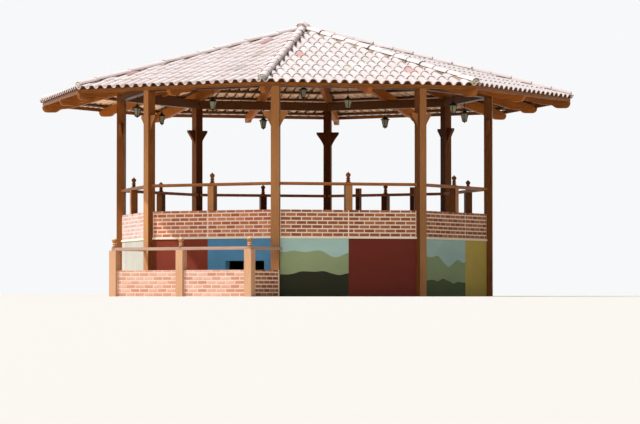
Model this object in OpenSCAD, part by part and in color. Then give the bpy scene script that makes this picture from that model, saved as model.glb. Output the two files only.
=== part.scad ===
// An eight-sided open bandstand: a hollow masonry plinth with a deck, brick parapets, timber posts,
// a handrail, a ring beam, hip and common rafters with ogee tails and a tiled pyramid roof.
// Millimetres, +Z up. The origin is the centre of the octagon on the ground, and the front side faces -Y.

/* [Plan] */
// Distance from the centre to the middle of each main post
post_ring_r = 3920; // [3500:10:4300]
// Distance from the centre to the tile edge at a corner of the eave
eave_r = 5700; // [5200:10:6200]

/* [Masonry] */
// Top of the deck above the ground
deck_z = 1190; // [1000:5:1400]
// Thickness of the deck's projecting edge band
deck_band = 35; // [25:5:60]
// Depth of the deck slab between the plinth walls
deck_depth = 120; // [100:5:200]
// Thickness of the plinth walls
plinth_t = 160; // [120:10:300]
// Height of the parapet above the deck
parapet_h = 532; // [450:2:700]
// Thickness of the parapet
parapet_t = 150; // [100:5:220]
// Radius of the left parapet's worn upper corners
corner_r = 100; // [60:5:140]
// Width of the opening into the plinth
door_w = 910; // [700:10:1100]
// Height of the opening into the plinth above the ground
door_h = 712; // [600:2:900]
// Distance from the middle of its side to the middle of the opening
door_shift = 782; // [0:2:800]

/* [Timber posts and rails] */
// Width of the square main posts
post_w = 170; // [140:5:220]
// Width of the short posts on the parapet
short_w = 140; // [100:5:180]
// Width of the handrail
rail_w = 90; // [60:5:120]
// Height of the handrail's section
rail_h = 60; // [45:5:80]
// Underside of the handrail above the ground
rail_z = 2215; // [2100:5:2400]
// Height of the turned finials over the handrail
finial_h = 215; // [120:5:260]
// Reach of the brackets beside a main post
bracket_reach = 165; // [100:5:220]
// Flat top of those brackets above the ground
bracket_z = 3680; // [3400:10:3900]

/* [Roof frame] */
// Underside of the ring beam above the ground
beam_z = 4160; // [3900:10:4400]
// Depth of the ring beam
beam_h = 190; // [150:5:250]
// Width of the ring beam
beam_w = 150; // [100:5:200]
// Fall of the hips for each millimetre outward
hip_fall = 0.26; // [0.2:0.005:0.4]
// Upright depth of the rafters
rafter_h = 228; // [150:2:250]
// Width of the hip rafters
hip_w = 90; // [70:5:120]
// Width of the common rafters
common_w = 80; // [60:5:110]
// Radius of the hub that the rafters meet at
hub_r = 240; // [220:5:320]
// Distance between the battens, measured level
batten_gap = 460; // [380:5:520]

/* [Roof covering] */
// Thickness of the tile layer from the battens to the backs of the cover tiles
tile_h = 110; // [80:5:140]
// Radius of the hip cap tiles
cap_r = 105; // [80:5:130]

/* [Stairwell guard] */
// Distance of the newels' outer faces from the plinth's face
guard_out = 1200; // [1000:10:1600]
// Half of the guard's length between newel centres
guard_half = 1586; // [1300:2:1700]
// Height of the guard wall
guard_h = 520; // [400:10:700]
// Thickness of the guard wall
guard_t = 110; // [90:5:150]
// Width of the guard's newels
newel_w = 160; // [120:5:200]
// Top of the newels' square shafts above the ground
newel_h = 915; // [800:5:1000]

/* [Lanterns] */
// Height of a lantern from its ring to its lower tip
lantern_h = 340; // [280:5:460]
// Length of the rod over a lantern
lantern_drop = 105; // [0:5:120]
// Width of the square glass at its top
lantern_w = 122; // [100:2:200]

/* [Hidden] */
$fn = 48;
c22 = cos(22.5);
face_a = post_ring_r * c22;
rafter_z = beam_z + beam_h - 35;
facet_fall = hip_fall / c22;
bed_rise = rafter_h + 45;
timber = "#8E4A24";
timber_dark = "#5A2E1A";
brick = "#A8604F";
cream = "#D9CDB8";
maroon = "#6E2430";
blue = "#2F6FB0";
sky = "#A9CBD6";
ochre = "#B98A3C";
tile = "#E6D3C6";
cement = "#9C968C";
iron = "#23221F";
pane = "#D8D2B0";

// A level octagon with flats on the axes, given by the distance from its centre to a flat.
module octagon(a) {
    rotate(22.5) circle(r = a / c22, $fn = 8);
}

// An octagonal ring between two flats' distances, standing on z and h high.
module ring(a_in, a_out, z, h) {
    translate([0, 0, z]) linear_extrude(h) difference() {
        octagon(a_out);
        octagon(a_in);
    }
}

// The stretch of an octagonal ring on one side, cut on the mitres.
module side_ring(angle, a_in, a_out, z, h) {
    t = tan(22.5);
    rotate(angle) translate([0, 0, z]) linear_extrude(h)
        polygon([[a_in, -a_in * t], [a_out, -a_out * t], [a_out, a_out * t], [a_in, a_in * t]]);
}

// Puts its children at each corner of the octagon, facing outward.
module at_corners() {
    for (i = [0:7]) rotate(22.5 + 45 * i) children();
}

// Puts its children at each side of the octagon, facing outward.
module at_sides() {
    for (i = [0:7]) rotate(45 * i) children();
}

// The main posts' plain shafts, also used to cut what butts against them.
module post_shafts(extra = 0) {
    at_corners() translate([post_ring_r - post_w / 2, -post_w / 2, -extra])
        cube([post_w, post_w, beam_z + beam_h + 2 * extra]);
}

// One straight wall of the plinth.
module plinth_wall(angle) {
    difference() {
        side_ring(angle, face_a - plinth_t, face_a, 0, deck_z - deck_band);
        post_shafts(10);
    }
}

// The doorway's side with only the part between two places along it, and from z0 up to z1.
module plinth_cut(from, to, z0, z1) {
    intersection() {
        plinth_wall(-135);
        rotate(-135) translate([face_a - 2 * plinth_t, from, z0]) cube([3 * plinth_t, to - from, z1 - z0]);
    }
}

// One straight parapet wall that stands on the deck between two posts.
module parapet_wall(angle) {
    difference() {
        side_ring(angle, face_a - parapet_t, face_a, deck_z, parapet_h);
        post_shafts(10);
    }
}

// A parapet whose upper corners are rounded off where they meet the posts.
module rounded_parapet(angle, r) {
    reach = face_a * tan(22.5) - post_w / 2 / c22;
    top = deck_z + parapet_h;
    difference() {
        parapet_wall(angle);
        rotate(angle) translate([face_a - 2 * parapet_t, 0, 0]) rotate([90, 0, 90])
            linear_extrude(3 * parapet_t) for (s = [-1, 1]) difference() {
                translate([s > 0 ? reach - r : -reach - 200, top - r]) square([r + 200, r + 10]);
                translate([s * (reach - r), top - r]) circle(r = r);
            }
    }
}

module plinth_front() { color(maroon) plinth_wall(-90); }
module plinth_front_right() { color(ochre) plinth_wall(-45); }
module plinth_right() { color(cream) plinth_wall(0); }
module plinth_back_right() { color(cream) plinth_wall(45); }
module plinth_back() { color(cream) plinth_wall(90); }
module plinth_back_left() { color(cream) plinth_wall(135); }
module plinth_left() { color(cream) plinth_wall(180); }
module plinth_doorway_left() { color(maroon) plinth_cut(-1700, door_shift - door_w / 2, 0, deck_z); }
module plinth_doorway_right() { color(blue) plinth_cut(door_shift + door_w / 2, 1700, 0, deck_z); }
module plinth_doorway_head() { color(blue) plinth_cut(door_shift - door_w / 2, door_shift + door_w / 2, door_h, deck_z); }

module deck_slab() {
    color(cement) difference() {
        union() {
            translate([0, 0, deck_z - deck_band]) linear_extrude(deck_band) octagon(face_a + 18);
            translate([0, 0, deck_z - deck_depth]) linear_extrude(deck_depth) octagon(face_a - plinth_t);
        }
        post_shafts(10);
    }
}

module parapet_front() { color(brick) parapet_wall(-90); }
module parapet_front_right() { color(brick) parapet_wall(-45); }
module parapet_right() { color(brick) parapet_wall(0); }
module parapet_back_right() { color(brick) parapet_wall(45); }
module parapet_back() { color(brick) parapet_wall(90); }
module parapet_back_left() { color(brick) parapet_wall(135); }
module parapet_left() { color(brick) rounded_parapet(180, corner_r); }
module parapet_front_left() { color(brick) parapet_wall(-135); }

// The outline of one tapered bracket beside a post, with its flat top at 0 and a hollow front.
module bracket_outline() {
    n = 8;
    polygon(concat([[0, 0], [bracket_reach, 0], [bracket_reach, -45]],
        [for (i = [1:n]) let (u = i / n) [bracket_reach * pow(1 - u, 1.35), -45 - 280 * u]]));
}

module main_posts() {
    color(timber) post_shafts();
}

module post_brackets() {
    color(timber) at_corners() for (s = [-1, 1])
        translate([post_ring_r - 35 * s, s * post_w / 2, bracket_z]) rotate([90, 0, s * 90])
            linear_extrude(70) bracket_outline();
}

short_a = face_a - short_w / 2 + 45;

// How far each side's short post stands from the middle of its side, from the right side round to the back.
short_shift = [-180, 0, 0, 0, -250, 0, 0, 0];

// Puts its children over each side's short post.
module at_short_posts() {
    for (i = [0:7]) rotate(45 * i) translate([short_a, short_shift[i], 0]) children();
}

module short_posts() {
    color(timber) {
        at_short_posts() translate([-short_w / 2, -short_w / 2, deck_z + parapet_h])
            cube([short_w, short_w, rail_z - deck_z - parapet_h]);
        for (s = [-1, 1]) rotate(45) translate([short_a - 50, s * 690 - 50, deck_z + parapet_h])
            cube([100, 100, rail_z - deck_z - parapet_h]);
    }
}

module handrail() {
    color(timber) difference() {
        ring(short_a - rail_w / 2, short_a + rail_w / 2, rail_z, rail_h);
        post_shafts(10);
    }
}

// A turned finial: a base disc, a waist with two rounded rings and an acorn with a tip.
module finial(h, r) {
    rotate_extrude() intersection() {
        translate([0, -1]) square([2 * r, 2 * h]);
        union() {
            translate([-1, 0]) square([r + 1, 0.07 * h]);
            translate([-1, 0.06 * h]) square([0.60 * r + 1, 0.46 * h]);
            translate([0.62 * r, 0.17 * h]) circle(r = 0.055 * h);
            translate([-1, 0.115 * h]) square([0.62 * r + 1, 0.11 * h]);
            translate([0.62 * r, 0.35 * h]) circle(r = 0.055 * h);
            translate([-1, 0.295 * h]) square([0.62 * r + 1, 0.11 * h]);
            intersection() {
                translate([0, 0.70 * h]) circle(r = 0.95 * r);
                translate([-1, 0.46 * h]) square([r + 1, 0.40 * h]);
            }
            polygon([[-1, 0.84 * h], [0.48 * r, 0.84 * h], [0.14 * r, 0.98 * h], [0, h], [-1, h]]);
        }
    }
}

module rail_finials() {
    color(timber_dark) {
        at_short_posts() translate([0, 0, rail_z + rail_h]) finial(finial_h, 52);
        for (s = [-1, 1]) rotate(45) translate([short_a - 50, s * 690 - 50, rail_z + rail_h])
            cube([100, 100, 130]);
    }
}

module ring_beam() {
    color(timber_dark) difference() {
        ring(face_a - beam_w / 2, face_a + beam_w / 2, beam_z, beam_h);
        post_shafts(10);
    }
}

// The side outline of a rafter along its run: x outward, y up, with an ogee tail cut from its depth.
// x0 is where it leaves the hub, x1 its end, fall its fall and xb the place over the beam.
module rafter_outline(x0, x1, xb, fall, drop) {
    function low(x) = rafter_z - drop - fall * (x - xb);
    function high(x) = low(x) + rafter_h;
    nose = 100;
    rise = 70;
    run = 190;
    s = (run * run + rise * rise) / (4 * rise);
    b = low(x1 - 600) - 13 - rise;
    xn = x1 - 250;
    difference() {
        union() {
            polygon([[x0, low(x0)], [x1 - 600, low(x1 - 600)], [xn - run, b + rise], [xn - run / 2, b + rise / 2],
                     [xn, b], [x1 - nose, b], [x1, b + nose], [x1, high(x1) - 30], [x1 - 40, high(x1) - 30],
                     [x1 - 40, high(x1 - 40)], [x0, high(x0)]]);
            intersection() {
                translate([xn, b + s]) circle(r = s);
                translate([xn - run / 2, b - 1]) square([run / 2, rise]);
            }
            intersection() {
                translate([x1 - nose, b + nose]) circle(r = nose);
                translate([x1 - nose - 1, b - 1]) square([nose + 2, nose + 1]);
            }
        }
        translate([xn - run, b + rise - s]) circle(r = s);
    }
}

// A rafter as a solid that lies along x, cut over the ring beam and at the hub.
module rafter(x1, xb, fall, drop, w) {
    difference() {
        translate([0, w / 2, 0]) rotate([90, 0, 0]) linear_extrude(w) rafter_outline(hub_r - 40, x1, xb, fall, drop);
        cylinder(r = hub_r, h = 9000);
    }
}

fascia_a = (eave_r * c22) - 55;

module hip_rafters() {
    color(timber) difference() {
        at_corners() rafter(fascia_a / c22 - 2, post_ring_r, hip_fall, 8, hip_w);
        ring(face_a - beam_w / 2, face_a + beam_w / 2, beam_z, beam_h);
        post_shafts();
    }
}

module common_rafters() {
    color(timber) difference() {
        at_sides() rafter(fascia_a - 2, face_a, facet_fall, 0, common_w);
        ring(face_a - beam_w / 2, face_a + beam_w / 2, beam_z, beam_h);
    }
}

module rafter_hub() {
    z = rafter_z + hip_fall * (post_ring_r - hub_r);
    color(timber_dark) union() {
        translate([0, 0, z - 60]) cylinder(r = hub_r, h = rafter_h + 100);
        translate([0, 0, z - 60]) rotate([180, 0, 0]) finial(200, 150);
    }
}

module eave_fascia() {
    z = rafter_z + rafter_h - facet_fall * (fascia_a - face_a);
    color(timber) ring(fascia_a - 40, fascia_a, z - 30, 75);
}

// One batten ring's stretches: boards laid on the slope and cut on the mitres.
module batten_ring(a) {
    t = tan(22.5);
    z = rafter_z + rafter_h - facet_fall * (a - face_a);
    at_sides() translate([0, 0, z]) rotate([90, 0, 0]) linear_extrude(2 * (a - 30) * t - 4, center = true)
        polygon([[a - 30, facet_fall * 30], [a + 30, -facet_fall * 30], [a + 30, 45 - facet_fall * 30],
                 [a - 30, 45 + facet_fall * 30]]);
}

module roof_battens() {
    color(timber_dark) for (i = [0:10]) batten_ring(fascia_a - 190 - batten_gap * i);
}

// One slope of the roof: a slab on the battens, cut on the hips, and more below it where it is a cutter.
module roof_slope(angle, more = 0) {
    t = tan(22.5);
    a1 = eave_r * c22;
    z0 = rafter_z + bed_rise + facet_fall * face_a;
    z1 = z0 - facet_fall * a1;
    rotate(angle) intersection() {
        rotate([90, 0, 0]) linear_extrude(2 * a1, center = true)
            polygon([[0, z0 - more], [a1, z1 - more], [a1, z1 + tile_h], [0, z0 + tile_h]]);
        translate([0, 0, z1 - 10 - more]) linear_extrude(z0 - z1 + tile_h + 20 + more)
            polygon([[0, 0], [a1, -a1 * t], [a1, a1 * t]]);
    }
}

module roof_slope_front() { color(tile) roof_slope(-90); }
module roof_slope_front_right() { color(tile) roof_slope(-45); }
module roof_slope_right() { color(tile) roof_slope(0); }
module roof_slope_back_right() { color(tile) roof_slope(45); }
module roof_slope_back() { color(tile) roof_slope(90); }
module roof_slope_back_left() { color(tile) roof_slope(135); }
module roof_slope_left() { color(tile) roof_slope(180); }
module roof_slope_front_left() { color(tile) roof_slope(-135); }

top_z = rafter_z + bed_rise + facet_fall * face_a + tile_h;

module hip_cap_tiles() {
    len = eave_r * sqrt(1 + hip_fall * hip_fall);
    color(tile) difference() {
        at_corners() translate([0, 0, top_z - 48]) rotate([0, 90 + atan(hip_fall), 0]) translate([0, 0, 120])
            cylinder(r = cap_r, h = len - 125);
        for (i = [0:7]) roof_slope(45 * i, 400);
        cylinder(r = 285, h = 9000);
    }
}

module apex_cap() {
    color(tile) translate([0, 0, top_z]) rotate_extrude()
        polygon([[0, 1], [286, 1 - hip_fall * 286], [286, -16], [120, 44], [80, 96], [36, 136], [0, 143]]);
}

// Places its children at the front left side, x outward from the plinth's face.
module at_guard() {
    rotate(-135) translate([face_a, 0, 0]) children();
}

// Distance from the plinth's face to the newels' middles.
newel_a = guard_out - newel_w / 2;

// The newels' plain shafts, also used to cut what butts against them.
module newel_shafts() {
    at_guard() for (y = [-guard_half, 0, guard_half]) translate([newel_a - newel_w / 2, y - newel_w / 2, 0])
        cube([newel_w, newel_w, newel_h]);
}

// Clears a piece of the guard from the plinth and the posts.
module clear_of_plinth() {
    difference() {
        children();
        post_shafts(10);
        for (a = [-180, -135, -90]) side_ring(a, face_a - plinth_t, face_a, 0, deck_z);
    }
}

module guard_wall_front() {
    color(brick) difference() {
        at_guard() translate([newel_a - newel_w / 2, -guard_half, 0]) cube([guard_t, 2 * guard_half, guard_h]);
        newel_shafts();
    }
}

module guard_side(s) {
    y = guard_half - newel_w / 2;
    clear_of_plinth() difference() {
        at_guard() translate([48, s > 0 ? y : -y - guard_t, 0]) cube([newel_a - 48, guard_t, guard_h]);
        newel_shafts();
    }
}

module guard_wall_left() { color(brick) guard_side(-1); }
module guard_wall_right() { color(brick) guard_side(1); }

module guard_newels() {
    color(timber) newel_shafts();
}

// The rail lies on the newels and turns the corners on them, under the finials.
module guard_rails() {
    color(timber) clear_of_plinth() {
        at_guard() translate([0, 0, newel_h]) {
            translate([newel_a - 45, -guard_half - 45, 0]) cube([90, 2 * guard_half + 90, 60]);
            for (s = [-1, 1]) translate([-40, s * guard_half - 45, 0]) cube([newel_a + 40, 90, 60]);
        }
    }
}

module guard_finials() {
    color(timber) at_guard() for (y = [-guard_half, 0, guard_half])
        translate([newel_a, y, newel_h + 60]) finial(200, 58);
}

// A square frustum that stands on z = 0, w1 wide below and w2 wide above.
module square_taper(w1, w2, h) {
    intersection() {
        rotate([90, 0, 0]) linear_extrude(w1 + w2, center = true)
            polygon([[-w1 / 2, 0], [w1 / 2, 0], [w2 / 2, h], [-w2 / 2, h]]);
        rotate([90, 0, 90]) linear_extrude(w1 + w2, center = true)
            polygon([[-w1 / 2, 0], [w1 / 2, 0], [w2 / 2, h], [-w2 / 2, h]]);
    }
}

// The metalwork of one square coach lantern, its hook at z = 0: roof, corner bars, tray and tip.
module lantern_frame() {
    w = lantern_w;
    g = 0.46 * lantern_h;
    z = -0.40 * lantern_h - lantern_drop;
    translate([0, 0, -50 - lantern_drop]) cylinder(r = 7, h = 50 + lantern_drop);
    translate([0, 0, -60 - lantern_drop]) sphere(r = 15);
    translate([0, 0, -88 - lantern_drop]) square_taper(54, 30, 30);
    translate([0, 0, z + 8]) square_taper(w + 26, 54, -87 - lantern_drop - z - 8);
    translate([0, 0, z - 4]) square_taper(w + 38, w + 38, 12);
    difference() {
        translate([0, 0, z - g]) square_taper(0.62 * w, w + 4, g);
        translate([0, 0, z - g - 1]) square_taper(0.62 * w - 14, w - 10, g + 2);
        for (a = [0, 90]) rotate(a) translate([-w, 0, z - g]) rotate([90, 0, 90])
            linear_extrude(2 * w) polygon([[-0.31 * w + 10, -1], [0.31 * w - 10, -1],
                                           [0.5 * w - 9, g + 1], [-0.5 * w + 9, g + 1]]);
    }
    translate([0, 0, z - g - 9]) square_taper(0.62 * w + 10, 0.62 * w + 10, 9);
    translate([0, 0, z - g - 29]) square_taper(26, 0.62 * w, 20);
    translate([0, 0, z - g - 34]) sphere(r = 11);
}

// The glass of one lantern.
module lantern_pane() {
    w = lantern_w;
    g = 0.46 * lantern_h;
    translate([0, 0, -0.40 * lantern_h - lantern_drop - g]) difference() {
        translate([0, 0, 1]) square_taper(0.62 * w - 16, w - 12, g - 6);
        translate([0, 0, -1]) square_taper(0.62 * w - 24, w - 20, g - 2);
    }
}

// Puts its children at every lantern's hanging point, each turned its own way as in the photograph.
module at_lanterns() {
    turns = [20, 55, 5, 30, 35, 10, 40, 60];
    for (i = [0:7]) rotate(45 * i) translate([face_a - 45, 0, beam_z]) rotate(turns[i]) children();
}

hub_low = rafter_z + hip_fall * (post_ring_r - hub_r) - 60 - 200;

module lantern_frames() {
    color(iron) {
        at_lanterns() lantern_frame();
        translate([0, 0, 4610]) lantern_frame();
        translate([0, 0, 4580]) cylinder(r = 8, h = hub_low - 4580 + 20);
    }
}

module lantern_panes() {
    color(pane) {
        at_lanterns() lantern_pane();
        translate([0, 0, 4610]) lantern_pane();
    }
}

plinth_front();
plinth_front_right();
plinth_right();
plinth_back_right();
plinth_back();
plinth_back_left();
plinth_left();
plinth_doorway_left();
plinth_doorway_right();
plinth_doorway_head();
deck_slab();
parapet_front();
parapet_front_right();
parapet_right();
parapet_back_right();
parapet_back();
parapet_back_left();
parapet_left();
parapet_front_left();
main_posts();
post_brackets();
short_posts();
handrail();
rail_finials();
ring_beam();
hip_rafters();
common_rafters();
rafter_hub();
eave_fascia();
roof_battens();
roof_slope_front();
roof_slope_front_right();
roof_slope_right();
roof_slope_back_right();
roof_slope_back();
roof_slope_back_left();
roof_slope_left();
roof_slope_front_left();
hip_cap_tiles();
apex_cap();
guard_wall_front();
guard_wall_left();
guard_wall_right();
guard_newels();
guard_rails();
guard_finials();
lantern_frames();
lantern_panes();
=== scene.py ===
"""Looks of an eight-sided open bandstand with a masonry plinth, timber posts and a barrel-tiled roof.

Every piece is in metres in the frame of the CAD model: the origin is the centre of the octagon on the ground,
+Z is up and the front side faces -Y. The CAD nodes keep their shapes and get materials here. The plain roof
slopes, hip caps and apex are replaced by real tiles, and the parapets and guard walls get their bricks.
"""
from __future__ import annotations

import logging
import math
import random
from dataclasses import dataclass, field
from enum import Enum
from typing import Callable, Sequence

import bmesh
import bpy
from bpy.types import Material, Node, NodeSocket as Socket, NodeTree as Tree, Object
from mathutils import Matrix, Vector

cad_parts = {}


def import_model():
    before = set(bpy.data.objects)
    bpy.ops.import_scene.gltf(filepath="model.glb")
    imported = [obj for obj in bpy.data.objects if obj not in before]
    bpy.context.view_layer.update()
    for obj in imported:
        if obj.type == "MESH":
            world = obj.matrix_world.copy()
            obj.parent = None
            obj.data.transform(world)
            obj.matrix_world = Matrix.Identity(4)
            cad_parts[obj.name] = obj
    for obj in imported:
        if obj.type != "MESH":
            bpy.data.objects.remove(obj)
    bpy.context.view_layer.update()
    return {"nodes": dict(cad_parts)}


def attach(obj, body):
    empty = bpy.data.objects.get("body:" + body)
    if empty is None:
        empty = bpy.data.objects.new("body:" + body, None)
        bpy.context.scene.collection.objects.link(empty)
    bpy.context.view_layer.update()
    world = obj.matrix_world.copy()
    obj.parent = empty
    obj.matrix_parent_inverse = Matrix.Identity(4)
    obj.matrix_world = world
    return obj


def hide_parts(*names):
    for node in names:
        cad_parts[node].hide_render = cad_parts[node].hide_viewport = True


LOG = logging.getLogger("bandstand")
Point = tuple[float, float, float]
Colour = tuple[float, float, float, float]
Face = tuple[int, ...]
Lay = Callable[[float, float, float], Point]
SIDE_TURN = math.radians(45)
HALF_SIDE = math.radians(22.5)


def linear(code: str) -> Colour:
    """Turns an sRGB hex code into the linear colour that Blender's sockets take.

    Args:
        code: Six hex digits after a hash sign.

    Returns:
        Linear red, green, blue and an alpha of 1.
    """
    parts = [int(code[i:i + 2], 16) / 255 for i in (1, 3, 5)]
    red, green, blue = (c / 12.92 if c <= 0.04045 else ((c + 0.055) / 1.055) ** 2.4 for c in parts)
    return red, green, blue, 1.0


def feed(tree: Tree, node: Node, inputs: dict) -> None:
    """Gives a node's sockets their values and links.

    Args:
        tree: The node tree.
        node: The node.
        inputs: Socket name or number to a value, or to the output socket that feeds it.
    """
    for key, value in inputs.items():
        if isinstance(value, Socket):
            tree.links.new(value, node.inputs[key])
        else:
            node.inputs[key].default_value = value


def add_node(tree: Tree, kind: str, inputs: dict | None = None, **settings: object) -> Node:
    """Adds one shader node with its settings, values and links.

    A MapRange takes its range in as sockets 1 and 2 and its range out as 3 and 4. A colour Mix takes its
    share as socket 0 and its two colours as 6 and 7.

    Args:
        tree: The material's node tree.
        kind: The node's type name without its ShaderNode prefix.
        inputs: What feed() takes.
        settings: Properties of the node itself.

    Returns:
        The new node.
    """
    node = tree.nodes.new("ShaderNode" + kind)
    for name, value in settings.items():
        setattr(node, name, value)
    feed(tree, node, inputs or {})
    return node


class Side(Enum):
    """The eight sides by the direction that each faces, in degrees from +X."""

    RIGHT = 0
    BACK_RIGHT = 45
    BACK = 90
    BACK_LEFT = 135
    LEFT = 180
    FRONT_LEFT = 225
    FRONT = 270
    FRONT_RIGHT = 315

    @property
    def word(self) -> str:
        """The side's name as the CAD nodes spell it."""
        return self.name.lower()

    def place(self, out: float, along: float, up: float) -> Point:
        """Turns a place on this side into the shared frame.

        Args:
            out: Distance outward from the centre, square to the side.
            along: Distance along the side from its middle, anticlockwise seen from above.
            up: Height.

        Returns:
            The point in the shared frame.
        """
        turn = math.radians(self.value)
        cosine, sine = math.cos(turn), math.sin(turn)
        return out * cosine - along * sine, out * sine + along * cosine, up


@dataclass(frozen=True)
class Plan:
    """Sizes that the bandstand's pieces share, in metres."""

    post_ring: float = 3.92
    eave_ring: float = 5.70
    hip_fall: float = 0.26
    bed_at_post: float = 4.588
    tile_layer: float = 0.11
    deck_top: float = 1.19
    parapet_top: float = 1.722
    parapet_thick: float = 0.15

    @property
    def face(self) -> float:
        """Distance from the centre to the outer face of plinth and parapet."""
        return self.post_ring * math.cos(HALF_SIDE)

    @property
    def eave(self) -> float:
        """Distance from the centre to the tile edge in the middle of a side."""
        return self.eave_ring * math.cos(HALF_SIDE)

    @property
    def slope(self) -> float:
        """Angle of a roof slope from the level."""
        return math.atan(self.hip_fall / math.cos(HALF_SIDE))

    @property
    def bed_peak(self) -> float:
        """Height at which the planes that the tiles lie on would meet over the centre."""
        return self.bed_at_post + self.hip_fall * self.post_ring

    @property
    def tile_peak(self) -> float:
        """Height at which the backs of the cover tiles would meet over the centre."""
        return self.bed_peak + self.tile_layer


class Grain(Enum):
    """How the grain of a timber piece runs, as the local direction that it follows."""

    UPRIGHT = 2
    ALONG_SIDE = 1
    OUTWARD = 0
    ALONG_HIP = 3


def side_coordinates(tree: Tree, corner: bool = False) -> tuple[Socket, ...]:
    """Adds nodes that give a point's place on the side or corner of the octagon that it is nearest to.

    Args:
        tree: The material's node tree.
        corner: True to fold round the corners, where the hips run, in place of the sides.

    Returns:
        Outputs for the distance outward, the distance along the side, and the height.
    """
    spot = add_node(tree, "SeparateXYZ", {0: add_node(tree, "TexCoord").outputs["Object"]})
    x, y, z = spot.outputs
    shift = HALF_SIDE if corner else 0.0
    angle = add_node(tree, "Math", {0: y, 1: x}, operation="ARCTAN2").outputs[0]
    moved = add_node(tree, "Math", {0: angle, 1: shift}, operation="SUBTRACT").outputs[0]
    turns = add_node(tree, "Math", {0: moved, 1: SIDE_TURN}, operation="DIVIDE").outputs[0]
    whole = add_node(tree, "Math", {0: turns}, operation="ROUND").outputs[0]
    turn = add_node(tree, "Math", {0: whole, 1: SIDE_TURN, 2: shift}, operation="MULTIPLY_ADD").outputs[0]
    cosine = add_node(tree, "Math", {0: turn}, operation="COSINE").outputs[0]
    sine = add_node(tree, "Math", {0: turn}, operation="SINE").outputs[0]
    x_cos = add_node(tree, "Math", {0: x, 1: cosine}, operation="MULTIPLY").outputs[0]
    out = add_node(tree, "Math", {0: y, 1: sine, 2: x_cos}, operation="MULTIPLY_ADD").outputs[0]
    x_sin = add_node(tree, "Math", {0: x, 1: sine}, operation="MULTIPLY").outputs[0]
    y_cos = add_node(tree, "Math", {0: y, 1: cosine}, operation="MULTIPLY").outputs[0]
    along = add_node(tree, "Math", {0: y_cos, 1: x_sin}, operation="SUBTRACT").outputs[0]
    return out, along, z


def seen_or_mirrored(tree: Tree) -> Socket:
    """Adds a mask that is 1 for what the camera sees, also in gloss and through glass, and 0 for plain light.

    Args:
        tree: The node tree of the floor or the world.

    Returns:
        The mask's output.
    """
    path = add_node(tree, "LightPath").outputs
    mask = path["Is Camera Ray"]
    for ray in ("Is Glossy Ray", "Is Transmission Ray"):
        mask = add_node(tree, "Math", {0: mask, 1: path[ray]}, operation="MAXIMUM").outputs[0]
    return mask


def new_material(name: str) -> tuple[Material, Tree, Node]:
    """Makes a node material with one Principled shader.

    Args:
        name: The material's name.

    Returns:
        The material, its tree and the shader node.
    """
    material = bpy.data.materials.new(name)
    material.use_nodes = True
    tree = material.node_tree
    return material, tree, tree.nodes["Principled BSDF"]


def bump(tree: Tree, shader: Node, height: Socket, depth_mm: float) -> None:
    """Feeds a height pattern to the shader's normal.

    Args:
        tree: The material's node tree.
        shader: The Principled shader.
        height: Output that holds the pattern, from 0 to 1.
        depth_mm: Depth of the relief.
    """
    relief = add_node(tree, "Bump", {"Height": height, "Distance": depth_mm / 1000, "Strength": 1.0})
    feed(tree, shader, {"Normal": relief.outputs[0]})


def grit(tree: Tree, shader: Node, grain_mm: float, detail: float, depth_mm: float) -> None:
    """Roughens a surface with grains of a real size.

    Args:
        tree: The material's node tree.
        shader: The Principled shader.
        grain_mm: Size of the grains.
        detail: How many finer layers lie on them.
        depth_mm: Depth of the relief.
    """
    grains = add_node(tree, "TexNoise", {"Scale": 1000 / grain_mm, "Detail": detail})
    bump(tree, shader, grains.outputs[0], depth_mm)


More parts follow.
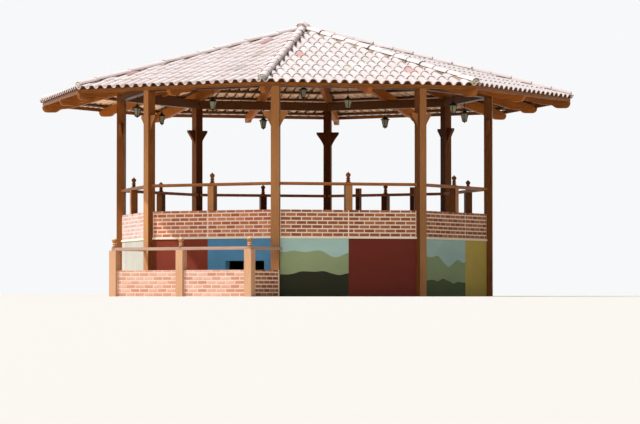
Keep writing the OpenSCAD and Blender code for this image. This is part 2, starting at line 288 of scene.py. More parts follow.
@dataclass(frozen=True)
class VarnishedTimber:
    """Tropical hardwood, planed and brushed with clear varnish: a warm streaky grain under a soft gloss.

    Where an inward painted-shade tone is given, the faces that look outward are mixed paler, partly wear and
    partly painted light, the side faces get a grey painted skylight tint, the inner ones a dark painted
    shade, and pieces to the west are painted lighter than those to the east. A crown tone paints a highlight
    on the faces that look up.
    """

    name: str
    pale: str
    deep: str
    grain: Grain
    inward_painted_shade: str = ""
    crown: str = ""
    side_painted_skylight: str = "#B2B4B6"
    worn_and_lit: str = "#B09A76"
    worn_and_lit_share: float = 0.3
    west: tuple[float, float] = (-3.8, 1.24)
    east: tuple[float, float] = (-1.0, 0.9)
    grain_mm: float = 14.0
    stretch: float = 22.0
    relief_mm: float = 0.8

    def bleached(self, tree: Tree, colour: Socket) -> Socket:
        """Paints light, shade and wear on the timber by the way each face looks and how far to the west it
        stands.

        Args:
            tree: The material's node tree.
            colour: The timber's colour in the open.

        Returns:
            The colour with that painted light, shade and wear.
        """
        spot = add_node(tree, "TexCoord").outputs
        level = add_node(tree, "VectorMath", {0: spot["Object"], 1: (1, 1, 0)}, operation="MULTIPLY")
        outward = add_node(tree, "VectorMath", {0: level.outputs[0]}, operation="NORMALIZE").outputs[0]
        facing = add_node(tree, "VectorMath", {0: outward, 1: spot["Normal"]}, operation="DOT_PRODUCT")
        turned = facing.outputs["Value"]
        # Painted shade: faces that turn inward take the dark shade tone, and side faces a grey tint as of
        # skylight.
        side_painted_skylight = add_node(tree, "MapRange", {"Value": turned, 1: -0.6, 2: 0.0}).outputs[0]
        shade = add_node(tree, "Mix", {0: side_painted_skylight, 6: linear(self.inward_painted_shade), 7: linear(self.side_painted_skylight)},
                         data_type="RGBA").outputs[2]
        outside = add_node(tree, "MapRange", {"Value": turned, 1: 0.0, 2: 0.9}).outputs[0]
        shade = add_node(tree, "Mix", {0: outside, 6: shade, 7: (1, 1, 1, 1)}, data_type="RGBA").outputs[2]
        # Painted light: pieces to the west, towards the sun, are painted lighter and those to the east
        # darker.
        across = add_node(tree, "SeparateXYZ", {0: spot["Object"]}).outputs["X"]
        painted_sun_gain = add_node(tree, "MapRange", {"Value": across, 1: self.west[0], 2: self.east[0],
                                              3: self.west[1], 4: self.east[1]}).outputs[0]
        shade = add_node(tree, "VectorMath", {0: shade, "Scale": painted_sun_gain}, operation="SCALE").outputs[0]
        # Outward faces are mixed towards a paler tone, partly wear and partly painted light.
        amount = add_node(tree, "MapRange", {"Value": turned, 1: 0.5, 2: 1.0, 3: 0.0, 4: self.worn_and_lit_share})
        outer = add_node(tree, "Mix", {0: amount.outputs[0], 6: colour, 7: linear(self.worn_and_lit)},
                         data_type="RGBA").outputs[2]
        return add_node(tree, "Mix", {0: 1.0, 6: outer, 7: shade}, data_type="RGBA",
                        blend_type="MULTIPLY").outputs[2]

    def build(self) -> Material:
        """Makes the material, its grain stretched along the piece.

        Returns:
            The material.
        """
        material, tree, shader = new_material(self.name)
        places = side_coordinates(tree, corner=self.grain is Grain.ALONG_HIP)
        fine = 1000 / self.grain_mm
        run = Grain.OUTWARD.value if self.grain is Grain.ALONG_HIP else self.grain.value
        scales = [fine / self.stretch if i == run else fine for i in range(3)]
        scaled = [add_node(tree, "Math", {0: axis, 1: scale}, operation="MULTIPLY").outputs[0]
                  for axis, scale in zip(places, scales)]
        spot = add_node(tree, "CombineXYZ", dict(enumerate(scaled))).outputs[0]
        streaks = add_node(tree, "TexNoise", {"Vector": spot, "Scale": 1.0, "Detail": 5.0, "Roughness": 0.62,
                                              "Distortion": 0.35}).outputs[0]
        broad = add_node(tree, "TexNoise", {"Scale": 0.9, "Detail": 2.0}).outputs[0]
        mixed = add_node(tree, "Math", {0: streaks, 1: 0.75, 2: broad}, operation="MULTIPLY_ADD").outputs[0]
        tone = add_node(tree, "ValToRGB", {"Fac": mixed})
        for stop, position, code in zip(tone.color_ramp.elements, (0.62, 0.93), (self.deep, self.pale)):
            stop.position, stop.color = position, linear(code)
        colour = self.bleached(tree, tone.outputs[0]) if self.inward_painted_shade else tone.outputs[0]
        # Painted highlight: faces that look up are washed towards the crown tone.
        if self.crown:
            normal = add_node(tree, "TexCoord").outputs["Normal"]
            rise = add_node(tree, "SeparateXYZ", {0: normal}).outputs["Z"]
            painted_top_highlight = add_node(tree, "MapRange", {"Value": rise, 1: 0.25, 2: 0.75}).outputs[0]
            colour = add_node(tree, "Mix", {0: painted_top_highlight, 6: colour, 7: linear(self.crown)},
                              data_type="RGBA").outputs[2]
        rough = add_node(tree, "MapRange", {"Value": streaks, 3: 0.38, 4: 0.55}).outputs[0]
        feed(tree, shader, {"Base Color": colour, "Roughness": rough, "Specular IOR Level": 0.14,
                            "Specular Tint": linear("#C4A084"), "Coat Weight": 0.05, "Coat Roughness": 0.3})
        bump(tree, shader, streaks, self.relief_mm)
        return material


@dataclass(frozen=True)
class PaintedRender:
    """Cement render in masonry paint: flat colours on a slightly uneven coat, darker towards the ground.

    The first colour may carry a plain landscape of two wavy bands, each with the length and height of its
    waves. The second colour covers the side from one place along it to its far end.
    """

    name: str
    first: str
    second: str
    split: float = 0.0
    hills: str = ""
    ground: str = ""
    hills_top: float = 0.86
    ground_top: float = 0.46
    hills_wave: tuple[float, float] = (0.9, 0.34)
    ground_wave: tuple[float, float] = (0.6, 0.12)

    def band(self, tree: Tree, along: Socket, up: Socket, top: float, wave: tuple[float, float]) -> Socket:
        """Adds a mask for what lies under a wavy line.

        Args:
            tree: The material's node tree.
            along: Distance along the side.
            up: Height.
            top: Mean height of the line.
            wave: Length and height of its waves.

        Returns:
            The output that is 1 under the line.
        """
        length, swell = wave
        spot = add_node(tree, "CombineXYZ", {0: along, 1: top}).outputs[0]
        wander = add_node(tree, "TexNoise", {"Vector": spot, "Scale": 1 / length, "Detail": 1.0}).outputs[0]
        line = add_node(tree, "MapRange", {"Value": wander, 1: 0.3, 2: 0.7, 3: top - swell / 2,
                                           4: top + swell / 2}).outputs[0]
        return add_node(tree, "Math", {0: up, 1: line}, operation="LESS_THAN").outputs[0]

    def build(self) -> Material:
        """Makes the material.

        Returns:
            The material.
        """
        material, tree, shader = new_material(self.name)
        _, along, up = side_coordinates(tree)
        covers = []
        if self.hills:
            covers.append((self.hills, self.band(tree, along, up, self.hills_top, self.hills_wave)))
            covers.append((self.ground, self.band(tree, along, up, self.ground_top, self.ground_wave)))
        past = add_node(tree, "Math", {0: along, 1: self.split}, operation="GREATER_THAN").outputs[0]
        covers.append((self.second, past))
        paint = linear(self.first)
        for code, mask in covers:
            paint = add_node(tree, "Mix", {0: mask, 6: paint, 7: linear(code)}, data_type="RGBA").outputs[2]
        cloud = add_node(tree, "TexNoise", {"Scale": 3.2, "Detail": 6.0, "Roughness": 0.6}).outputs[0]
        wear = add_node(tree, "MapRange", {"Value": cloud, 1: 0.3, 2: 0.75, 3: 0.88, 4: 1.05}).outputs[0]
        foot = add_node(tree, "MapRange", {"Value": up, 1: 0.0, 2: 0.3, 3: 0.82, 4: 1.0}).outputs[0]
        shade = add_node(tree, "Math", {0: wear, 1: foot}, operation="MULTIPLY").outputs[0]
        grey = add_node(tree, "CombineColor", {0: shade, 1: shade, 2: shade}).outputs[0]
        tint = add_node(tree, "Mix", {0: 1.0, 6: paint, 7: grey}, data_type="RGBA", blend_type="MULTIPLY")
        feed(tree, shader, {"Base Color": tint.outputs[2], "Roughness": 0.78, "Specular IOR Level": 0.25})
        grit(tree, shader, 6.25, 3.0, 1.2)
        return material


@dataclass(frozen=True)
class ToneCoat:
    """Fired clay or mortar, matt and gritty, whose base tone is painted piece by piece on the mesh."""

    name: str
    stain: str
    stain_scale: float
    stain_amount: float
    grit_mm: float

    def build(self) -> Material:
        """Makes the material; it reads the mesh's tone attribute and adds stains and grit.

        Returns:
            The material.
        """
        material, tree, shader = new_material(self.name)
        tone = add_node(tree, "Attribute", attribute_name="tone").outputs["Color"]
        cloud = add_node(tree, "TexNoise", {"Scale": self.stain_scale, "Detail": 6.0, "Roughness": 0.65})
        amount = add_node(tree, "MapRange", {"Value": cloud.outputs[0], 1: 0.48, 2: 0.72, 3: 0.0,
                                             4: self.stain_amount}).outputs[0]
        base = add_node(tree, "Mix", {0: amount, 6: tone, 7: linear(self.stain)}, data_type="RGBA")
        feed(tree, shader, {"Base Color": base.outputs[2], "Roughness": 0.85, "Specular IOR Level": 0.2})
        grit(tree, shader, self.grit_mm, 4.0, 0.8)
        return material


@dataclass(frozen=True)
class PlainCoat:
    """One even finish, such as white paint, lime joints, blacked iron or milk glass, faintly cloudy."""

    name: str
    colour: str
    cloudy: str
    rough: float
    grit_mm: float = 8.0
    depth_mm: float = 0.6
    metallic: float = 0.0
    through: float = 0.0

    def build(self) -> Material:
        """Makes the material.

        Returns:
            The material.
        """
        material, tree, shader = new_material(self.name)
        cloud = add_node(tree, "TexNoise", {"Scale": 5.0, "Detail": 5.0}).outputs[0]
        amount = add_node(tree, "MapRange", {"Value": cloud, 1: 0.35, 2: 0.7}).outputs[0]
        base = add_node(tree, "Mix", {0: amount, 6: linear(self.colour), 7: linear(self.cloudy)},
                        data_type="RGBA").outputs[2]
        feed(tree, shader, {"Base Color": base, "Roughness": self.rough, "Metallic": self.metallic,
                            "Transmission Weight": self.through})
        grit(tree, shader, self.grit_mm, 3.0, self.depth_mm)
        return material


Finish = VarnishedTimber | PaintedRender | ToneCoat | PlainCoat


@dataclass
class MeshKit:
    """Gathers points, faces and the faces' tones for one piece."""

    points: list[Point] = field(default_factory=list)
    faces: list[Face] = field(default_factory=list)
    tones: list[Colour] = field(default_factory=list)

    def add(self, points: Sequence[Point], faces: Sequence[Face], tone: str,
            under: str = "", hidden: Sequence[int] = ()) -> None:
        """Adds a part with one tone, or with another on some of its faces.

        Args:
            points: The part's points.
            faces: Its faces, as numbers of those points.
            tone: The sRGB hex code of its base colour.
            under: The code of the tone on its underside, painted shade or painted light.
            hidden: Numbers of the faces on that underside.
        """
        start = len(self.points)
        self.points.extend(points)
        self.faces.extend(tuple(start + i for i in face) for face in faces)
        tones = [linear(tone)] * len(faces)
        for i in hidden:
            tones[i] = linear(under)
        self.tones.extend(tones)

    def piece(self, name: str, material: Material, slot: str, cuts: Sequence[Vector] = (),
              smooth: float = 40.0) -> Object:
        """Makes the object, cuts it, and lets it ride on the body.

        Args:
            name: The piece's name.
            material: Its material.
            slot: The record's material slot; not used.
            cuts: Normals of upright planes through the origin, which clear what lies on their side.
            smooth: Edges sharper than this angle stay crisp.

        Returns:
            The new object.
        """
        mesh = bpy.data.meshes.new(name)
        mesh.from_pydata(self.points, [], self.faces)
        attribute = mesh.attributes.new("tone", "FLOAT_COLOR", "CORNER")
        colours = [value for face, tone in zip(self.faces, self.tones) for value in tone * len(face)]
        attribute.data.foreach_set("color", colours)
        if cuts:
            work = bmesh.new()
            work.from_mesh(mesh)
            for normal in cuts:
                bmesh.ops.bisect_plane(work, geom=work.verts[:] + work.edges[:] + work.faces[:], dist=1e-6,
                                       plane_co=(0, 0, 0), plane_no=normal, clear_outer=True)
            work.to_mesh(mesh)
            work.free()
        mesh.shade_smooth()
        mesh.set_sharp_from_angle(angle=math.radians(smooth))
        mesh.materials.append(material)
        piece = bpy.data.objects.new(name, mesh)
        bpy.context.scene.collection.objects.link(piece)
        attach(piece, "root")
        LOG.info("%s: %d faces", name, len(mesh.polygons))
        return piece


def ring_faces(rings: int, count: int) -> list[Face]:
    """Joins rings of points into a skin and closes the last ring.

    Args:
        rings: How many rings there are.
        count: Points in each.

    Returns:
        The faces, with the one that closes the ring at the end.
    """
    faces: list[Face] = []
    for ring in range(rings - 1):
        for i in range(count):
            a, b = ring * count + i, ring * count + (i + 1) % count
            faces.append((a, b, b + count, a + count))
    faces.append(tuple(range((rings - 1) * count, rings * count)))
    return faces


@dataclass
class Finishes:
    """Builds each finish once and hands it out by name."""

    made: dict[str, Material] = field(default_factory=dict)

    def get(self, finish: Finish) -> Material:
        """Gives the material of a finish, making it the first time.

        Args:
            finish: The finish.

        Returns:
            Its material.
        """
        if finish.name not in self.made:
            self.made[finish.name] = finish.build()
        return self.made[finish.name]

    def dress(self, node: Object, finish: Finish) -> None:
        """Gives a CAD node's object its finish in every slot it has.

        Args:
            node: The node's object.
            finish: The finish.
        """
        material = self.get(finish)
        if not node.material_slots:
            node.data.materials.append(material)
        for slot in node.material_slots:
            slot.material = material


# Varnished posts and brackets: tan and paler where they face outward, partly wear and partly painted light,
# painted lighter to the west, and a darker brown painted shade on the faces towards the deck.
UPRIGHT_TIMBER = VarnishedTimber("timber_upright", "#B4703A", "#7A4521", Grain.UPRIGHT, "#85705F")
# The handrail is an even mid brown.
RAIL_TIMBER = VarnishedTimber("timber_along_side", "#A66C42", "#6F4226", Grain.ALONG_SIDE)
# Under the eaves the varnish has kept its orange brown.
RAFTER_TIMBER = VarnishedTimber("timber_rafter", "#AC682E", "#723C17", Grain.OUTWARD)
HIP_TIMBER = VarnishedTimber("timber_hip", "#A1632E", "#6B3A17", Grain.ALONG_HIP)
FASCIA_TIMBER = VarnishedTimber("timber_fascia", "#8C582B", "#573117", Grain.ALONG_SIDE)
# The beam and the battens are painted a deep brown for the shade under the roof, and the turned pieces a red
# brown.
SHADE_DARKENED_TIMBER = VarnishedTimber("timber_painted_shade", "#603D22", "#352013", Grain.ALONG_SIDE)
TURNED_TIMBER = VarnishedTimber("timber_turned", "#84481F", "#4C2610", Grain.UPRIGHT)
# The guard stands in the open: its rails and newels are paler, partly bleached and partly painted sunlight,
# and its turned tops have a painted highlight on the faces that look up.
GUARD_RAIL_TIMBER = VarnishedTimber("timber_guard_rail", "#B39889", "#9E7D71", Grain.ALONG_SIDE)
NEWEL_TIMBER = VarnishedTimber("timber_newel", "#C69D7E", "#B48563", Grain.UPRIGHT)
TOP_TIMBER = VarnishedTimber("timber_guard_finial", "#B07C48", "#844A22", Grain.UPRIGHT, crown="#F2E7D6")
# White masonry paint gone a little creamy, matt and faintly cloudy.
BAND_PAINT = PlainCoat("band_white_paint", "#F6EDDC", "#E6DAC4", 0.7)
# Lime mortar, chalky and sandy, in painted lit and shaded copies: darker and greyer on the sunlit left
# parapet, darker and pinker on the sunlit guard walls, and a paler cream elsewhere for the walls in shade.
LEFT_PAINTED_SUN_JOINT = PlainCoat("left_lime_joints_painted_sun", "#E0D0C8", "#D6C4BB", 0.9, 4.0, 1.0)
GUARD_PAINTED_SUN_JOINT = PlainCoat("guard_lime_joints", "#E6CBBC", "#DCBBA9", 0.9, 4.0, 1.0)
LIME_JOINT = PlainCoat("lime_joints", "#F7E4D4", "#F0D8C4", 0.9, 4.0, 1.0)
# Cast iron blacked with stove paint, with a dull sheen.
BLACK_IRON = PlainCoat("blacked_iron", "#22211F", "#2E2B27", 0.45, 3.0, 0.3, 0.6)
# Opal glass, smooth and partly clear, yellowed with dust.
MILK_GLASS = PlainCoat("milk_glass", "#A7A27C", "#88825F", 0.25, 30.0, 0.2, 0.0, 0.3)
# Pale fired clay with faint clouds, brick clay with dark red fire marks, and grey mortar with stains.
ROOF_CLAY = ToneCoat("roof_clay", "#C8B8B0", 3.0, 0.30, 6.0)
BRICK_CLAY = ToneCoat("brick_clay", "#8C4A3C", 14.0, 0.35, 4.0)
BEDDING = ToneCoat("bedding_mortar", "#A39A8F", 9.0, 0.5, 5.0)

SKY = "#A8CBC9"
MAROON = "#6C291D"
OCHRE = "#BEAA56"
STONE = "#D6D4C2"
BLUE = "#528CB4"
# Matt masonry paint, two flat panels on each side, and hills under a pale sky where it says so.
PLINTH_PAINT = {
    Side.FRONT: PaintedRender("paint_front", SKY, MAROON, 0.0, "#93A57E", "#2B2C1B"),
    Side.FRONT_RIGHT: PaintedRender("paint_front_right", SKY, OCHRE, 0.45, "#8FA57E", "#4C5A38", 0.7, 0.3),
    Side.RIGHT: PaintedRender("paint_right", OCHRE, STONE),
    Side.BACK_RIGHT: PaintedRender("paint_back_right", MAROON, BLUE),
    Side.BACK: PaintedRender("paint_back", STONE, OCHRE),
    Side.BACK_LEFT: PaintedRender("paint_back_left", BLUE, MAROON),
    Side.LEFT: PaintedRender("paint_left", "#C4C3BE", "#B7B8B0", -1.1),
    Side.FRONT_LEFT: PaintedRender("paint_front_left", "#823522", BLUE, -0.09),
}
PINK_CLAY, SAND_CLAY = "#B38E8B", "#B9B4AA"
# Odd tiles by course from the eave and column from the middle. A side that isn't named gets a few by chance.
ODD_TILES = {
    Side.FRONT: {(5, -4): PINK_CLAY, (2, 5): PINK_CLAY, (2, -1): SAND_CLAY, (4, 2): SAND_CLAY},
    Side.FRONT_LEFT: {(8, -1): PINK_CLAY, (2, -8): PINK_CLAY, (5, 2): SAND_CLAY, (2, 4): SAND_CLAY},
    Side.FRONT_RIGHT: {},
}
# Where an upright joint parts the bricks of a parapet, and how far a short post stands from the middle.
PARAPET_JOINT = {Side.FRONT_LEFT: -0.09, Side.FRONT_RIGHT: 0.45}
SHORT_POST_SHIFT = {Side.RIGHT: -0.18, Side.LEFT: -0.25}
# Sides whose eaves show from inside. Their lowest channels keep the pale underside painted as bounced light;
# the other sides get the dark hollow tone there, painted shade.
SEEN_FROM_INSIDE = (Side.BACK_RIGHT, Side.BACK, Side.BACK_LEFT)


@dataclass
class Plinth:
    """The hollow masonry base: painted walls and the deck with its white band."""

    finishes: Finishes
    nodes: dict[str, Object]

    def dress(self) -> None:
        """Paints the walls side by side and the deck."""
        for side, paint in PLINTH_PAINT.items():
            if side is Side.FRONT_LEFT:
                names = ["plinth_doorway_left", "plinth_doorway_right", "plinth_doorway_head"]
            else:
                names = [f"plinth_{side.word}"]
            for name in names:
                self.finishes.dress(self.nodes[name], paint)
        self.finishes.dress(self.nodes["deck_slab"], BAND_PAINT)


@dataclass
class Brickwork:
    """Bricks on the faces of the parapets and the guard walls, in running bond with lime joints.

    Half lengths run from the middle of a side to where the bricks end. Paler bricks, painted sunlight, lie on
    the outside of the left and the front left parapet, and on the front and the left wall of the guard.
    """

    finishes: Finishes
    nodes: dict[str, Object]
    plan: Plan
    length: float = 0.2155
    course: float = 0.0797
    joint: float = 0.025
    upright_joint: float = 0.75
    proud: float = 0.005
    sunk: float = 0.004
    soft: float = 0.004
    least_wide: float = 0.03
    least_high: float = 0.02
    least_ledge: float = 0.05
    ledge_inset: float = 0.003
    ledge_proud: float = 0.004
    half_outside: float = 1.405
    half_inside: float = 1.43
    half_top: float = 1.4
    half_rounded: float = 1.406
    post_room: float = 0.08
    corner: float = 0.10
    guard_start: float = 0.09
    guard_out: float = 1.15
    guard_thick: float = 0.11
    guard_half: float = 1.586
    guard_high: float = 0.52
    newel: float = 0.16
    # Paler tones paint sunlight on the front left parapet, the guard and, palest, the left parapet; the plain
    # tones are for shade.
    tones: tuple[str, ...] = ("#9F6648", "#A76F50", "#955C42", "#AD7758", "#8E563F")
    painted_sunlit_tones: tuple[str, ...] = ("#C27756", "#CA8260", "#B76D4F", "#CF8A68", "#AF664B")
    guard_painted_sunlit_tones: tuple[str, ...] = ("#C4937F", "#CBA190", "#BA8976", "#D0AA9B")
    painted_light_tones: tuple[str, ...] = ("#C8ACA9", "#CEB6B3", "#C2A39F", "#D1BCB9")
    parapet_seed: int = 40
    guard_seed: int = 77

    @staticmethod
    def on_wall(side: Side, face: float, sense: int) -> Lay:
        """Gives the face of a wall that runs along a side.

        Args:
            side: The side.
            face: Distance of that face from the centre.
            sense: 1 where it looks outward, and -1 where it looks inward.

        Returns:
            What turns along, up and out of the face into the shared frame.
        """
        def lay(along: float, up: float, out: float) -> Point:
            """Places one point."""
            return side.place(face + sense * out, sense * along, up)

        return lay

    def rounded(self, lay: Lay) -> Lay:
        """Keeps bricks within the rounded upper corners of the left parapet.

        Args:
            lay: Turns along, up and out of the wall into the shared frame.

        Returns:
            The same with places past a corner brought back to its curve.
        """
        start = self.plan.parapet_top - self.corner

        def kept(along: float, up: float, out: float) -> Point:
            """Brings one place back."""
            rise = min(max(up - start, 0.0), self.corner)
            reach = self.half_inside
            if rise:
                reach = self.half_rounded - self.corner + math.sqrt(self.corner ** 2 - rise ** 2)
            return lay(max(-reach, min(reach, along)), up, out)

        return kept

    def brick(self, kit: MeshKit, low: tuple[float, float], high: tuple[float, float], depth: float, lay: Lay,
              tone: str) -> None:
        """Adds one brick face with softened edges.

        Args:
            kit: The mesh that it joins.
            low: Its lower corner, along the wall and up.
            high: Its upper corner.
            depth: How far it stands out of the joints.
            lay: Turns along, up and out of the wall into the shared frame.
            tone: Its colour.
        """
        soft = min(self.soft, (high[0] - low[0]) / 3, (high[1] - low[1]) / 3)
        rings = ((0.0, -self.sunk), (0.0, depth - soft), (soft, depth))
        points = [lay(x, y, out) for inset, out in rings for x, y in (
            (low[0] + inset, low[1] + inset), (high[0] - inset, low[1] + inset),
            (high[0] - inset, high[1] - inset), (low[0] + inset, high[1] - inset))]
        *sides, front = ring_faces(len(rings), 4)
        kit.add(points, [front, *sides], tone)

    def panel(self, kit: MeshKit, span: tuple[float, float], rise: tuple[float, float], lay: Lay,
              tones: Sequence[str], chance: random.Random) -> None:
        """Covers one panel of wall with courses from the foot up, the odd ones moved by half a brick.

        Args:
            kit: The mesh that the bricks join.
            span: Where the panel starts and ends along the wall.
            rise: Its lower and its upper edge.
            lay: Turns along, up and out of the wall into the shared frame.
            tones: Colours to choose from.
            chance: The seeded source of variation.
        """
        edge = self.joint / 2
        start, end = span[0] + edge, span[1] - edge
        foot, top = rise
        row = 0
        low = foot + edge
        while low < top - self.least_high:
            high = min(low + self.course - self.joint, top)
            along = start - self.length * (0.5 if row % 2 else 0.0)
            while along < end:
                left = max(along, start)
                right = min(along + self.length - self.joint * self.upright_joint, end)
                if right - left > self.least_wide:
                    self.brick(kit, (left, low), (right, high), self.proud * chance.uniform(0.8, 1.1), lay,
                               chance.choice(tones))
                along += self.length
            low += self.course
            row += 1

    def build(self) -> None:
        """Lays the bricks of the parapets, then of the guard."""
        # The sunlit left parapet and the guard's front and left walls take darker joints, painted sunlight;
        # the rest paler ones.
        for side in Side:
            joint = LEFT_PAINTED_SUN_JOINT if side is Side.LEFT else LIME_JOINT
            self.finishes.dress(self.nodes[f"parapet_{side.word}"], joint)
        for name, joint in (("front", GUARD_PAINTED_SUN_JOINT), ("left", GUARD_PAINTED_SUN_JOINT), ("right", LIME_JOINT)):
            self.finishes.dress(self.nodes[f"guard_wall_{name}"], joint)
        clay = self.finishes.get(BRICK_CLAY)
        for number, side in enumerate(Side):
            self.parapet(side, clay, random.Random(self.parapet_seed + number))
        self.guard(clay)

    def parapet(self, side: Side, clay: Material, chance: random.Random) -> None:
        """Lays the bricks on both faces and the top of one parapet.

        Args:
            side: Its side.
            clay: The bricks' material.
            chance: The seeded source of variation.
        """
        kit, plan = MeshKit(), self.plan
        outside = self.on_wall(side, plan.face, 1)
        inside = self.on_wall(side, plan.face - plan.parapet_thick, -1)
        tones, ledge = self.tones, self.half_top
        # Painted sunlight: the front left and the left parapet take paler tones outside.
        if side is Side.FRONT_LEFT:
            tones = self.painted_sunlit_tones
        elif side is Side.LEFT:
            tones, ledge = self.painted_light_tones, self.half_top - self.corner
            outside, inside = self.rounded(outside), self.rounded(inside)
        joint = PARAPET_JOINT.get(side, 0.0)
        rise = (plan.deck_top, plan.parapet_top)
        for span in ((-self.half_outside, joint), (joint, self.half_outside)):
            self.panel(kit, span, rise, outside, tones, chance)
        for span in ((-self.half_inside, -joint), (-joint, self.half_inside)):
            self.panel(kit, span, rise, inside, self.tones, chance)

        def on_top(along: float, inward: float, out: float) -> Point:
            """Places one point on the top of the parapet."""
            return side.place(plan.face - inward, along, plan.parapet_top + out)

        post = SHORT_POST_SHIFT.get(side, 0.0)
        for along, end in ((-ledge, post - self.post_room), (post + self.post_room, ledge)):
            while along < end - self.least_ledge:
                right = min(along + self.length - self.joint, end)
                low, high = (along, self.ledge_inset), (right, plan.parapet_thick - self.ledge_inset)
                self.brick(kit, low, high, self.ledge_proud, on_top, chance.choice(self.tones))
                along += self.length
        kit.piece(f"parapet_bricks_{side.word}", clay, "brick")

    def guard(self, clay: Material) -> None:
        """Lays the bricks of the guard round the stairwell.

        Args:
            clay: The bricks' material.
        """
        chance = random.Random(self.guard_seed)
        kit = MeshKit()
        side, face = Side.FRONT_LEFT, self.plan.face
        out, thick = self.guard_out, self.guard_thick
        rise = (0.0, self.guard_high)
        inner_half = self.guard_half - self.newel / 2
        front = self.on_wall(side, face + out, 1)
        back = self.on_wall(side, face + out - thick, -1)
        # Painted sunlight: the guard's front wall and left return take the paler tones, the right return in
        # shade the plain ones.
        for span in ((-inner_half, -self.newel / 2), (self.newel / 2, inner_half)):
            for lay in (front, back):
                self.panel(kit, span, rise, lay, self.guard_painted_sunlit_tones, chance)
        for sign, tones in ((-1, self.guard_painted_sunlit_tones), (1, self.tones)):
            for half, sense in ((inner_half + thick, 1), (inner_half, -1)):

                def on_return(along: float, up: float, off: float) -> Point:
                    """Places one point on the face of a wall that runs outward."""
                    return side.place(face + along, sign * (half + sense * off), up)

                self.panel(kit, (self.guard_start, out - thick), rise, on_return, tones, chance)
        kit.piece("guard_bricks", clay, "brick")


@dataclass
class TimberFrame:
    """Posts, rails, beam, rafters, fascia and battens."""

    finishes: Finishes
    nodes: dict[str, Object]

    def dress(self) -> None:
        """Gives each timber node the finish whose grain runs its way."""
        wood = {
            "main_posts": UPRIGHT_TIMBER, "post_brackets": UPRIGHT_TIMBER, "short_posts": UPRIGHT_TIMBER,
            "handrail": RAIL_TIMBER, "rail_finials": TURNED_TIMBER, "ring_beam": SHADE_DARKENED_TIMBER,
            "hip_rafters": HIP_TIMBER, "common_rafters": RAFTER_TIMBER, "rafter_hub": TURNED_TIMBER,
            "eave_fascia": FASCIA_TIMBER, "roof_battens": SHADE_DARKENED_TIMBER, "guard_newels": NEWEL_TIMBER,
            "guard_rails": GUARD_RAIL_TIMBER, "guard_finials": TOP_TIMBER,
        }
        for name, finish in wood.items():
            self.finishes.dress(self.nodes[name], finish)


@dataclass(frozen=True)
class TileShape:
    """One kind of barrel tile.

    Its widths are those of the upper and the lower end, and its rise is the height from edge to crown. A
    cover lies hollow side down, and a channel hollow side up.
    """

    wide: tuple[float, float]
    rise: float
    cover: bool = True


COVER = TileShape((0.134, 0.170), 0.066)
CHANNEL = TileShape((0.202, 0.116), 0.058, cover=False)
HIP_CAP = TileShape((0.160, 0.194), 0.064)
LAST_CAP = TileShape((0.140, 0.176), 0.070)


